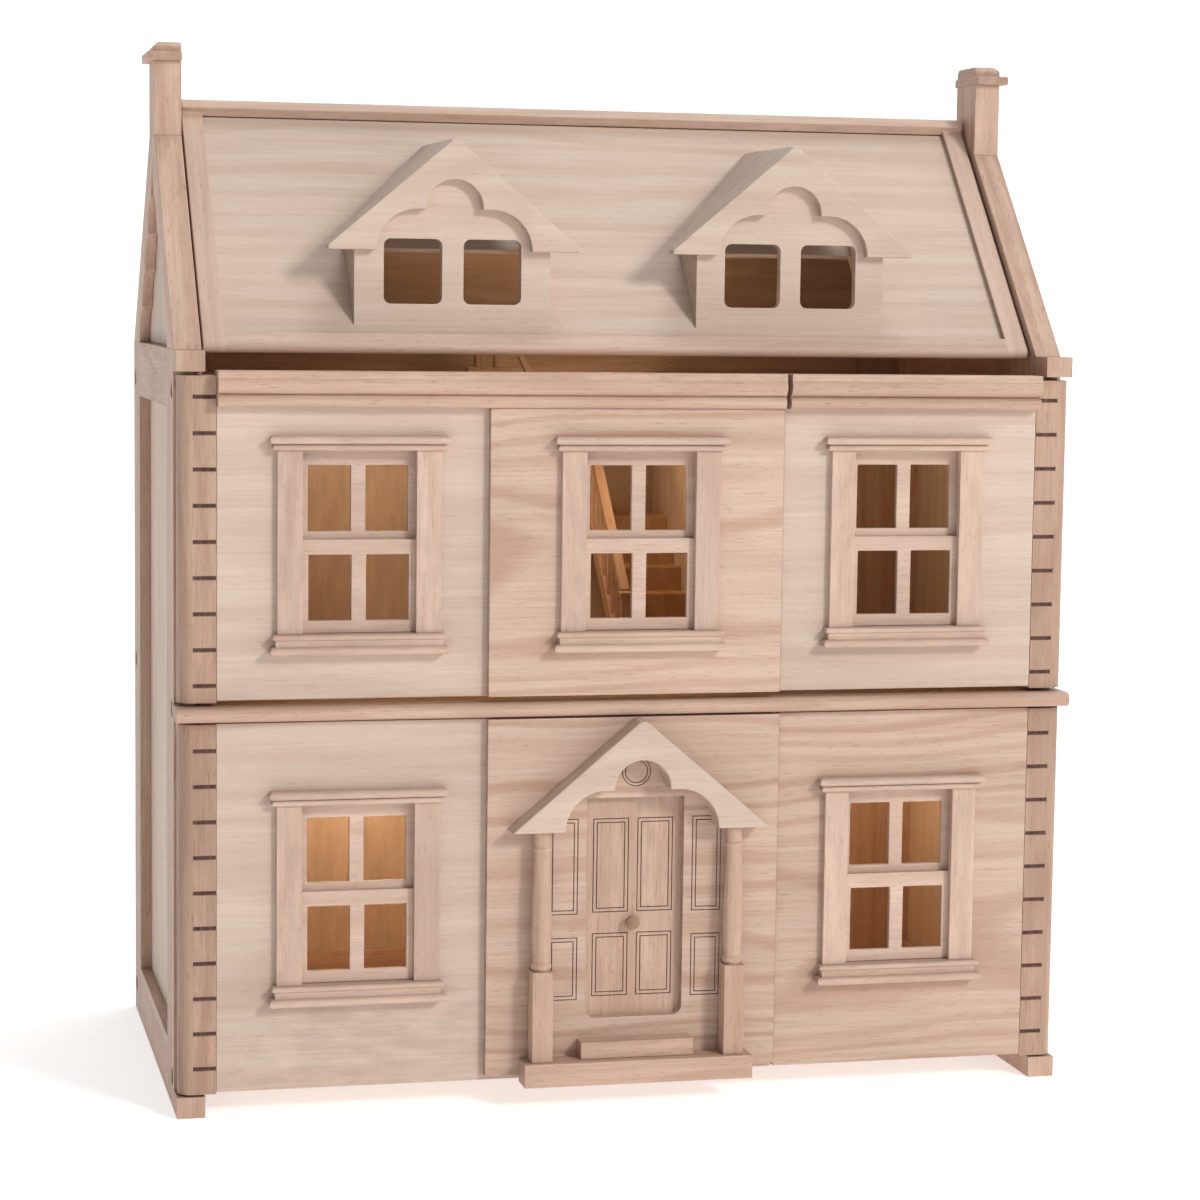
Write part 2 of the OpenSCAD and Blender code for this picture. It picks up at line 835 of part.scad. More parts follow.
module door_recess() {
    facing(bay_front - eps, bay_t + door_t + 2 * eps) translate([-recess_half, recess_z]) {
        rounded_rect(2 * recess_half, recess_top - recess_z, recess_r);
        translate([0, 60]) square([2 * recess_half, recess_top - recess_z - 60]);
    }
}

// Two thin burnt lines round a rectangle
module etched_panel(x0, x1, z0, z1, face) {
    for (inset = [0, 2.6]) {
        facing(face - eps, eps + etch) difference() {
            translate([x0 + inset, z0 + inset])
                square([x1 - x0 - 2 * inset, z1 - z0 - 2 * inset]);
            translate([x0 + inset + line_t, z0 + inset + line_t])
                square([x1 - x0 - 2 * (inset + line_t), z1 - z0 - 2 * (inset + line_t)]);
        }
    }
}

module lower_bay_board() color(bare_wood) placed() difference() {
    box(bay_left, split_left, bay_front, door_front, 21, lower_door_top);
    door_recess();
    for (side = [-1, 1]) {
        etched_panel(side * 51 - 10.5, side * 51 + 10.5, 132, 199, bay_front);
        etched_panel(side * 51 - 10.5, side * 51 + 10.5, 72, 116, bay_front);
    }
    facing(bay_front - eps, eps + etch) translate([0, 231]) for (r = [8.2, 10.4]) {
        difference() {
            circle(r);
            circle(r - line_t);
        }
    }
}

module cornice(x0, x1) color(bare_wood) placed() {
    along_x(x0, x1 - x0) translate([door_front, cornice_z]) {
        translate([-7, 0]) square([7, cornice_top - cornice_z]);
        translate([-6.5, 4.2]) circle(4.2);
        translate([-6.6, 15.2]) circle(6.5);
        translate([-12, 19]) square([12, 5]);
    }
}

// ---- Windows -------------------------------------------------------------------

// Outline of a moulding of height h that reaches out from a wall: a bead under a round nose
module moulding(reach, h) {
    nose = 2.8;
    bead = 2;
    square([reach - 2 * bead, h]);
    translate([reach - 2 * bead, bead]) circle(bead);
    translate([0, h - 2 * nose]) square([reach - nose, 2 * nose]);
    translate([reach - nose, h - nose]) circle(nose);
}

// A length of moulding that also returns round both of its ends
module moulded_bar(w, reach, h) intersection() {
    mirror([0, 1, 0]) along_x(-w / 2, w) moulding(reach, h);
    facing(-reach, reach) {
        translate([-w / 2 + reach, 0]) square([w - 2 * reach, h]);
        for (side = [0, 1]) mirror([side, 0]) translate([w / 2 - reach, 0]) moulding(reach, h);
    }
}

// Hood, two jambs and sill, glued round the window opening
module casing(x, z, face) translate([x, face, z]) {
    jamb_out = 5;
    proud = 10;
    sill_out = 12;
    top = sill_h + win_h;
    for (side = [-1, 1]) {
        mid = side * (win_w / 2 + jamb_w / 2);
        box(mid - jamb_w / 2, mid + jamb_w / 2, -jamb_out, 0, sill_h + joint, top);
    }
    translate([0, 0, top + joint]) moulded_bar(hood_w, proud, hood_h);
    translate([0, 0, sill_h]) mirror([0, 0, 1]) moulded_bar(hood_w, sill_out, sill_h);
}

// A two-pane sash of height h with its lower left corner at the window's sill
module sash(x, z, y, h, bottom_rail) translate([x, y, z]) difference() {
    half = win_w / 2 + sash_lap;
    box(-half, half, 0, sash_t, 0, h);
    for (px = [-half + sash_stile, muntin / 2]) {
        box(px, px + half - sash_stile - muntin / 2, -eps, sash_t + eps,
            bottom_rail, bottom_rail + pane_h);
    }
}

module lower_sash(x, z, face) color(bare_wood) placed() {
    sash(x, z + sill_h + 0.3, face + 0.2, lower_sash_h, sash_rail - 0.3);
}

module top_sash(x, z, face) {
    sash(x, z + sill_h + upper_sash_z, face + sash_pocket + 0.2, win_h - upper_sash_z, sash_rail);
}

// ---- Porch and front door --------------------------------------------------------

module porch_pediment() color(pale_ply) placed() {
    facing(pediment_front, bay_front - pediment_front) translate([0, pediment_z])
        pediment_outline();
}

// Square pedestals turned down to tapered columns with a ring at each end
module porch_columns() color(bare_wood) placed() {
    for (x = [-column_x, column_x]) translate([x, column_y, 0]) {
        translate([-pedestal_w / 2, -pedestal_w / 2, slab_z + slab_h])
            cube([pedestal_w, pedestal_w, pedestal_top - slab_z - slab_h]);
        rotate_extrude() polygon([
            [0, pedestal_top - eps], [5.6, pedestal_top - eps], [5.6, pedestal_top + 0.8],
            [6.8, pedestal_top + 1.6], [7.1, pedestal_top + 3.4], [6.8, pedestal_top + 5.2],
            [6, pedestal_top + 6], [6.2, pedestal_top + 12], [7, pedestal_top + 26],
            [6.6, pedestal_top + 50], [5.5, pediment_z - 16], [5.5, pediment_z - 14.4],
            [6.3, pediment_z - 13.8], [6.3, pediment_z - 11.4], [5.5, pediment_z - 10.8],
            [5.5, pediment_z], [0, pediment_z],
        ]);
    }
}

// The slab the columns stand on, and the step in front of the door
module porch_steps() color(bare_wood) placed() {
    box(-slab_half, slab_half, -porch_out, bay_front, slab_z, slab_z + slab_h - joint);
    box(-40, 40, bay_front - step_out, bay_front, slab_z + slab_h, slab_z + slab_h + 12);
}

// The leaf fills the cut-out in the door panel, just behind the panel's face
module front_door_leaf() color(bare_wood) placed() difference() {
    facing(leaf_y, door_front + door_t - leaf_y) intersection() {
        translate([-recess_half, recess_z]) {
            rounded_rect(2 * recess_half, recess_top - recess_z, recess_r);
            translate([0, 60]) square([2 * recess_half, recess_top - recess_z - 60]);
        }
        square([4 * recess_half, 2 * side_h], center = true);
    }
    for (x = [-28.5, 3]) {
        etched_panel(x, x + 25.5, 131.5, 197.5, leaf_y);
        etched_panel(x, x + 25.5, 72.5, 117, leaf_y);
    }
    translate([knob_x, leaf_y - eps, knob_z]) rotate([-90, 0, 0]) cylinder(d = 4, h = 5);
}

module front_door_knob() color(warm_wood) placed() {
    translate([knob_x, leaf_y + 4, knob_z]) rotate([90, 0, 0]) rotate_extrude() polygon([
        [0, 0], [2, 0], [2, 4], [3.4, 4], [3.4, 5.2], [2.6, 6], [2.8, 7.4],
        [4.2, 8.4], [4.9, 9.8], [4.9, 10.6], [4.1, 11.8], [2.4, 12.7], [0, 13],
    ]);
}

side_frame(false);  // left_side_frame
side_frame(true);  // right_side_frame
side_panels();
gable_frame(false);  // left_gable_frame
gable_frame(true);  // right_gable_frame
gable_panels();
chimneys();
chimney_caps();
ground_floor();
middle_floor();
attic_floor();
string_course();
back_frame();
back_panels();
partitions();
stairs(ground_z + floor_t, lower_risers, lower_rise);  // lower_stairs
stairs(string_top, upper_risers, upper_rise);  // upper_stairs
both_stairs() {  // stair_strings
    string_board(ground_z + floor_t, lower_risers, lower_rise);
    string_board(string_top, upper_risers, upper_rise);
}
both_stairs() {  // stair_newels
    newel(ground_z + floor_t);
    newel(string_top);
}
both_stairs() {  // stair_handrails
    handrail(ground_z + floor_t, lower_risers, lower_rise);
    handrail(string_top, upper_risers, upper_rise);
}
both_stairs() {  // stair_balusters
    baluster_set(ground_z + floor_t, lower_risers, lower_rise);
    baluster_set(string_top, upper_risers, upper_rise);
}
attic_railing();
rear_roof_frame();
rear_roof_sheet();
color(warm_wood) placed() {  // pivot_dowels
    door_pins();
    roof_pins();
}
side_bolts();
door_post(false, upper_post_z, upper_post_top, 294.7, 9);  // upper_left_post
upper_left_panel();
upper_bay_board();
cornice(-post_in, split_left);  // upper_left_cornice
door_post(true, upper_post_z, upper_post_top, 294.7, 9);  // upper_right_post
upper_right_panel();
cornice(split_right + 2, post_in);  // upper_right_cornice
door_post(false, post_bottom, lower_post_top, 33.8, 10);  // lower_left_post
lower_left_panel();
lower_bay_board();
door_post(true, post_bottom, lower_post_top, 33.8, 10);  // lower_right_post
lower_right_panel();
color(bare_wood) placed() {  // upper_left_casings
    casing(-win_x, win_upper_z, door_front);
    casing(0, win_upper_z, bay_front);
}
color(bare_wood) placed()  // upper_right_casing
    casing(win_x, win_upper_z, door_front);
color(bare_wood) placed()  // lower_left_casing
    casing(-win_x, win_lower_z, door_front);
color(bare_wood) placed()  // lower_right_casing
    casing(win_x, win_lower_z, door_front);
color(bare_wood) placed() {  // upper_left_top_sashes
    top_sash(-win_x, win_upper_z, door_front);
    top_sash(0, win_upper_z, bay_front);
}
color(bare_wood) placed()  // upper_right_top_sash
    top_sash(win_x, win_upper_z, door_front);
color(bare_wood) placed()  // lower_left_top_sash
    top_sash(-win_x, win_lower_z, door_front);
color(bare_wood) placed()  // lower_right_top_sash
    top_sash(win_x, win_lower_z, door_front);
lower_sash(-win_x, win_upper_z, door_front);  // upper_left_sash
lower_sash(0, win_upper_z, bay_front);  // upper_middle_sash
lower_sash(win_x, win_upper_z, door_front);  // upper_right_sash
lower_sash(-win_x, win_lower_z, door_front);  // lower_left_sash
lower_sash(win_x, win_lower_z, door_front);  // lower_right_sash
porch_pediment();
porch_columns();
porch_steps();
front_door_leaf();
front_door_knob();
front_roof_frame();
front_roof_sheet();
dormer_faces();
dormer_roofs();
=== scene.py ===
import json
import math

import bmesh
import bpy
from mathutils import Matrix, Vector


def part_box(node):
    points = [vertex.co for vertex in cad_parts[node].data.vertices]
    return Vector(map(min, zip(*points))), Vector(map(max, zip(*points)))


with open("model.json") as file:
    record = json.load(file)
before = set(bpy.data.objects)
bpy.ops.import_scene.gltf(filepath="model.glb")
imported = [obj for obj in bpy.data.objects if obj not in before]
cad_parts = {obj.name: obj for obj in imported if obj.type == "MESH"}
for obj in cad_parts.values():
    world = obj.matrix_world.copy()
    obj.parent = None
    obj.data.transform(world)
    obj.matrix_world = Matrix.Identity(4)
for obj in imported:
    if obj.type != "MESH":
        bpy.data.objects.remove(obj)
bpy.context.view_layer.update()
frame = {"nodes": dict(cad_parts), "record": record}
NODES = frame["nodes"]
RECORD = frame["record"]
MM = 0.001

SLOT_OF = {s["node"]: s["material_slot"] for s in RECORD["subparts"]}

# ---------------------------------------------------------------- node helpers


class Graph:
    """Small helper for writing shader and geometry graphs as expressions."""

    def __init__(self, tree):
        self.tree = tree
        self.tree.nodes.clear()

    def node(self, kind, **props):
        n = self.tree.nodes.new(kind)
        for key, value in props.items():
            setattr(n, key, value)
        return n

    def put(self, socket, value):
        if isinstance(value, bpy.types.NodeSocket):
            self.tree.links.new(value, socket)
        else:
            socket.default_value = value

    def math(self, op, *args):
        n = self.node("ShaderNodeMath", operation=op)
        for i, a in enumerate(args):
            self.put(n.inputs[i], a)
        return n.outputs[0]

    def vmath(self, op, *args):
        n = self.node("ShaderNodeVectorMath", operation=op)
        for i, a in enumerate(args):
            self.put(n.inputs[i], a)
        return n.outputs["Value"] if op in ("DOT_PRODUCT", "LENGTH") else n.outputs[0]

    def split(self, vector):
        n = self.node("ShaderNodeSeparateXYZ")
        self.put(n.inputs[0], vector)
        return n.outputs

    def join(self, x, y, z):
        n = self.node("ShaderNodeCombineXYZ")
        for i, v in enumerate((x, y, z)):
            self.put(n.inputs[i], v)
        return n.outputs[0]

    def noise(self, vector, scale, detail, rough=0.55):
        n = self.node("ShaderNodeTexNoise", noise_dimensions="3D")
        self.put(n.inputs["Vector"], vector)
        n.inputs["Scale"].default_value = scale
        n.inputs["Detail"].default_value = detail
        n.inputs["Roughness"].default_value = rough
        return n.outputs["Fac"]

    def stretched_noise(self, vector, stretch, detail, rough=0.55):
        return self.noise(self.vmath("MULTIPLY", vector, stretch), 1.0, detail, rough)

    def remap(self, value, a, b, c=0.0, d=1.0):
        n = self.node("ShaderNodeMapRange", interpolation_type="SMOOTHSTEP", clamp=True)
        self.put(n.inputs["Value"], value)
        for key, v in (("From Min", a), ("From Max", b), ("To Min", c), ("To Max", d)):
            n.inputs[key].default_value = v
        return n.outputs["Result"]

    def mix(self, factor, a, b, blend="MIX"):
        n = self.node("ShaderNodeMix", data_type="RGBA", blend_type=blend)
        self.put(n.inputs["Factor"], factor)
        for key, v in ((6, a), (7, b)):
            if isinstance(v, tuple):
                v = (*v[:3], 1.0)
            self.put(n.inputs[key], v)
        return n.outputs[2]

    def attr(self, name):
        return self.node("ShaderNodeAttribute", attribute_name=name)


def new_material(name):
    mat = bpy.data.materials.new(name)
    mat.use_nodes = True
    return mat, Graph(mat.node_tree)


def srgb(r, g, b):
    """Linear colour from 8-bit display values."""
    def one(c):
        c /= 255.0
        return c / 12.92 if c <= 0.04045 else ((c + 0.055) / 1.055) ** 2.4
    return (one(r), one(g), one(b))


# Noise frequencies per metre: along the grain, then across it in both directions
DRIFT, RIPPLE = (2.2, 6.0, 6.0), (9.0, 30.0, 30.0)
FIBRES, STREAKS = (16.0, 620.0, 620.0), (3.0, 95.0, 95.0)
PORES, CLOUDS = (95.0, 1250.0, 1250.0), (4.0, 9.0, 9.0)
RUBBING, SOOT = (40.0, 120.0, 120.0), (60.0, 500.0, 500.0)
# How far the growth rings wander, in metres, and how they are spaced
DRIFT_REACH, RIPPLE_REACH = 0.085, 0.004
RING_TURN, RING_UNEVENNESS, RING_VARIETY = 3.6, 9.0, 0.34
TONE_SPREAD = 0.10
END_SHADE = 0.16
EDGE_WEAR = 0.07
ROUGH_SPREAD, PORE_ROUGH = 0.07, 0.12
WOOD_BUMP, WOOD_BUMP_MM = 0.22, 0.25
METAL_BUMP, METAL_BUMP_MM = 0.15, 0.1
# Depths behind the face between which a burnt line's floor and walls lie
LINE_FLOOR_MM, LINE_WALL_MM = (0.35, 0.9), (0.15, 0.65)
FACES_FRONT, FACES_SIDE = -0.985, 0.3


def burnt_mask(g, front):
    """One inside the lines burnt into a face that stands at y = front."""
    coords = g.node("ShaderNodeTexCoord")
    depth = g.math("SUBTRACT", g.split(coords.outputs["Object"])[1], front)
    facing = g.split(coords.outputs["Normal"])[1]

    def within(band_mm):
        return g.math("MULTIPLY", g.math("GREATER_THAN", depth, band_mm[0] * MM),
                      g.math("LESS_THAN", depth, band_mm[1] * MM))

    floor = g.math("MULTIPLY", within(LINE_FLOOR_MM), g.math("LESS_THAN", facing, FACES_FRONT))
    upright = g.math("LESS_THAN", g.math("ABSOLUTE", facing), FACES_SIDE)
    return g.math("MAXIMUM", floor, g.math("MULTIPLY", within(LINE_WALL_MM), upright))


def surface(g, shader, height, strength, distance_mm):
    """Roughens a shader with a bump and wires it to the material's output."""
    b = g.node("ShaderNodeBump")
    b.inputs["Strength"].default_value = strength
    b.inputs["Distance"].default_value = distance_mm * MM
    g.put(b.inputs["Height"], height)
    g.put(shader.inputs["Normal"], b.outputs[0])
    out = g.node("ShaderNodeOutputMaterial")
    g.put(out.inputs["Surface"], shader.outputs[0])


def wood(name, colours, ring_mm, ring_amount, fibre, pores, rough,
         burnt_front=None, stiles_from=None):
    """Wood whose grain follows the gco attribute: x runs along the grain, y and z across it.

    Lines burnt into the face at y = burnt_front are charred, and beyond stiles_from in x
    the grain turns to follow a frame's stiles.
    """
    light, dark, fleck = colours
    mat, g = new_material(name)
    gco = g.attr("gco").outputs["Vector"]
    seed = g.attr("gseed").outputs["Fac"]
    x, y, z = g.split(gco)
    if stiles_from is not None:
        at_x = g.split(g.node("ShaderNodeTexCoord").outputs["Object"])[0]
        stile = g.math("GREATER_THAN", g.math("ABSOLUTE", at_x), stiles_from)
        shift = g.math("MULTIPLY", stile, g.math("SUBTRACT", z, x))
        x, z = g.math("ADD", x, shift), g.math("SUBTRACT", z, shift)
        gco = g.join(x, y, z)

    # growth rings round a pith that wanders along the board
    drift = g.stretched_noise(gco, DRIFT, 2.0)
    ripple = g.stretched_noise(gco, RIPPLE, 3.0)
    radius = g.math("SQRT", g.math("ADD", g.math("POWER", y, 2.0), g.math("POWER", z, 2.0)))
    radius = g.math("ADD", radius, g.math("MULTIPLY", drift, DRIFT_REACH))
    radius = g.math("ADD", radius, g.math("MULTIPLY", ripple, RIPPLE_REACH))
    phase = g.math("DIVIDE", radius, ring_mm * MM)
    width = g.noise(g.join(phase, g.math("MULTIPLY", x, 1.5), 0.0), RING_VARIETY, 2.0)
    rings = g.math("SINE", g.math("ADD", g.math("MULTIPLY", phase, RING_TURN),
                                  g.math("MULTIPLY", width, RING_UNEVENNESS)))
    late = g.remap(rings, -0.2, 1.0)
    late = g.math("MULTIPLY", late, g.remap(width, 0.25, 0.75, 0.35, 1.0))

    # fine fibres, open pores and broad colour change
    fibres = g.stretched_noise(gco, FIBRES, 3.0, 0.6)
    streaks = g.stretched_noise(gco, STREAKS, 3.0, 0.6)
    dashes = g.stretched_noise(gco, PORES, 1.0, 0.5)
    pore = g.remap(dashes, 0.63, 0.72)
    cloud = g.stretched_noise(gco, CLOUDS, 2.0)

    colour = g.mix(g.math("MULTIPLY", late, ring_amount), light, dark)
    colour = g.mix(g.math("MULTIPLY", g.remap(streaks, 0.3, 0.75), fibre), colour, dark)
    colour = g.mix(g.math("MULTIPLY", g.remap(fibres, 0.35, 0.75), fibre * 0.8), colour, dark)
    colour = g.mix(g.math("MULTIPLY", pore, pores), colour, fleck)
    tone = g.math("ADD", g.remap(cloud, 0.25, 0.75, 0.93, 1.06),
                  g.math("MULTIPLY", g.math("SUBTRACT", seed, 0.5), TONE_SPREAD))

    # end grain is darker and freckled
    normal = g.node("ShaderNodeTexCoord").outputs["Normal"]
    along = g.math("ABSOLUTE", g.vmath("DOT_PRODUCT", normal, g.attr("gaxis").outputs["Vector"]))
    end = g.remap(along, 0.75, 0.97)
    freckle = g.remap(g.noise(gco, 1500.0, 2.0), 0.45, 0.7, 1.0, 0.86)
    shade = g.math("SUBTRACT", 1.0, g.math("MULTIPLY", end, END_SHADE))
    tone = g.math("MULTIPLY", tone, shade)
    tone = g.math("MULTIPLY", tone, g.math("ADD", g.math("SUBTRACT", 1.0, end),
                                           g.math("MULTIPLY", end, freckle)))

    # handled edges are rubbed lighter in places and darker in others
    rub = g.stretched_noise(gco, RUBBING, 3.0)
    worn = g.attr("gedge").outputs["Fac"]
    wear = g.math("MULTIPLY", worn, g.remap(rub, 0.3, 0.7, EDGE_WEAR, -EDGE_WEAR))
    tone = g.math("MULTIPLY", tone, g.math("ADD", 1.0, wear))
    scaled = g.vmath("SCALE", colour)
    g.put(scaled.node.inputs["Scale"], tone)
    if burnt_front is not None:
        soot = g.stretched_noise(gco, SOOT, 4.0, 0.65)
        char = g.mix(g.remap(soot, 0.3, 0.75), srgb(58, 34, 28), srgb(104, 68, 52))
        scaled = g.mix(burnt_mask(g, burnt_front), scaled, char)

    shader = g.node("ShaderNodeBsdfPrincipled")
    g.put(shader.inputs["Base Color"], scaled)
    matt = g.remap(fibres, 0.3, 0.7, rough - ROUGH_SPREAD, rough + ROUGH_SPREAD)
    g.put(shader.inputs["Roughness"],
          g.math("ADD", matt, g.math("MULTIPLY", pore, PORE_ROUGH)))
    shader.inputs["Specular IOR Level"].default_value = 0.35
    height = g.math("ADD", g.math("MULTIPLY", fibres, 0.55), g.math("MULTIPLY", streaks, 0.3))
    height = g.math("SUBTRACT", height, g.math("MULTIPLY", pore, 0.9))
    surface(g, shader, height, WOOD_BUMP, WOOD_BUMP_MM)
    return mat


def black_metal():
    """Blackened steel of the bolts, mottled lighter where it has worn."""
    mat, g = new_material("bolt_black")
    p = g.node("ShaderNodeTexCoord").outputs["Object"]
    n = g.noise(p, 700.0, 4.0, 0.6)
    colour = g.mix(g.remap(n, 0.35, 0.75), srgb(48, 42, 38), srgb(96, 84, 74))
    shader = g.node("ShaderNodeBsdfPrincipled")
    g.put(shader.inputs["Base Color"], colour)
    shader.inputs["Metallic"].default_value = 0.8
    g.put(shader.inputs["Roughness"], g.remap(n, 0.3, 0.8, 0.34, 0.58))
    surface(g, shader, n, METAL_BUMP, METAL_BUMP_MM)
    return mat


# Early wood, late wood and pores of each kind
SOLID = (srgb(200, 171, 152), srgb(166, 128, 106), srgb(136, 99, 80))
DEEP = (srgb(184, 154, 134), srgb(148, 112, 92), srgb(122, 88, 70))
PINK = (srgb(205, 179, 162), srgb(176, 144, 126), srgb(148, 113, 95))
PLY = (srgb(205, 186, 170), srgb(182, 152, 134), srgb(156, 124, 106))
FIGURE = (srgb(202, 177, 159), srgb(166, 126, 104), srgb(136, 99, 80))
DOWEL = (srgb(176, 144, 118), srgb(144, 108, 84), srgb(112, 80, 60))
STAIR = (srgb(196, 158, 118), srgb(160, 116, 78), srgb(128, 88, 58))
KINDS = {
    "solid": dict(colours=SOLID, ring_mm=9.0, ring_amount=0.42, fibre=0.40, pores=0.42,
                  rough=0.56),
    "deep": dict(colours=DEEP, ring_mm=8.0, ring_amount=0.42, fibre=0.40, pores=0.42,
                 rough=0.56),
    "pink": dict(colours=PINK, ring_mm=9.0, ring_amount=0.36, fibre=0.36, pores=0.35,
                 rough=0.54),
    "ply": dict(colours=PLY, ring_mm=12.0, ring_amount=0.34, fibre=0.36, pores=0.22,
                rough=0.58),
    "figured": dict(colours=FIGURE, ring_mm=7.5, ring_amount=0.60, fibre=0.34, pores=0.3,
                    rough=0.56),
    "dowel": dict(colours=DOWEL, ring_mm=6.0, ring_amount=0.4, fibre=0.4, pores=0.4,
                  rough=0.5),
    "stair": dict(colours=STAIR, ring_mm=8.0, ring_amount=0.4, fibre=0.36, pores=0.35,
                  rough=0.52),
}
KIND_OF_SLOT = {"solid_wood": "solid", "plywood": "ply", "dowel_wood": "dowel",
                "stair_wood": "stair"}
MATS = {kind: wood(kind + "_wood", **look) for kind, look in KINDS.items()}
BOLT = black_metal()

# ---------------------------------------------------------------- pieces

ALONG_X, ALONG_Z = 1.0, 3.0
GRAIN_X = {
    "upper_left_panel", "upper_right_panel", "lower_left_panel", "lower_right_panel",
    "upper_bay_board", "lower_bay_board", "dormer_faces", "dormer_roofs", "porch_pediment",
    "front_roof_sheet", "rear_roof_sheet", "upper_left_cornice", "upper_right_cornice",
    "ground_floor", "middle_floor", "attic_floor",
}
GRAIN_Z = {"side_panels", "gable_panels", "back_panels", "partitions", "front_door_leaf",
           "chimneys", "porch_columns"}
FIGURED = {"upper_bay_board", "lower_bay_board", "lower_right_panel"}
POSTS = {"upper_left_post", "upper_right_post", "lower_left_post", "lower_right_post"}
PALE = {"dormer_faces", "dormer_roofs", "porch_pediment"}
BURNT = POSTS | {"lower_bay_board", "front_door_leaf"}
ROOF_SLOPE, STAIR_SLOPE = math.radians(47.2), math.radians(46.0)
# Slopes that the grain follows, turned about x. A right angle stands the across-grain axis
# upright, which the stiles of the back frame take their grain from.
TILT = {
    "left_gable_frame": ROOF_SLOPE, "right_gable_frame": ROOF_SLOPE,
    "front_roof_frame": ROOF_SLOPE, "rear_roof_frame": ROOF_SLOPE,
    "front_roof_sheet": ROOF_SLOPE, "rear_roof_sheet": ROOF_SLOPE,
    "back_frame": math.radians(90.0),
    "stair_strings": STAIR_SLOPE, "stair_handrails": STAIR_SLOPE,
}
# How far in from each end the upright stiles of a one-piece frame reach
STILE_W = {"front_roof_frame": 15.0 * MM, "back_frame": 40.0 * MM}
EASED_MM = 0.6
BEVEL_MM = {
    **dict.fromkeys(POSTS, 0.25), "lower_bay_board": 0.12, "front_door_leaf": 0.12,
    "side_bolts": 0.3, "front_door_knob": 0.0, "pivot_dowels": 0.2, "stair_balusters": 0.2,
    "porch_columns": 0.4, "chimney_caps": 0.6, "back_panels": 0.2, "side_panels": 0.2,
    "front_roof_frame": 0.8, "string_course": 0.8, "dormer_faces": 0.7, "dormer_roofs": 1.0,
    "porch_pediment": 1.0,
}
SHARP, COPLANAR = math.radians(38), math.radians(0.4)
WELD_MM, NARROW_MM = 0.004, 0.45
# The middle of a stair is put out of reach, because its strings all rise one way
FAR = 10.0
# Where the pith may lie from a board's own middle: along the grain, then across it
PITH_MIN, PITH_MAX = (-5.0, -0.05, 0.05), (5.0, 0.05, 0.12)


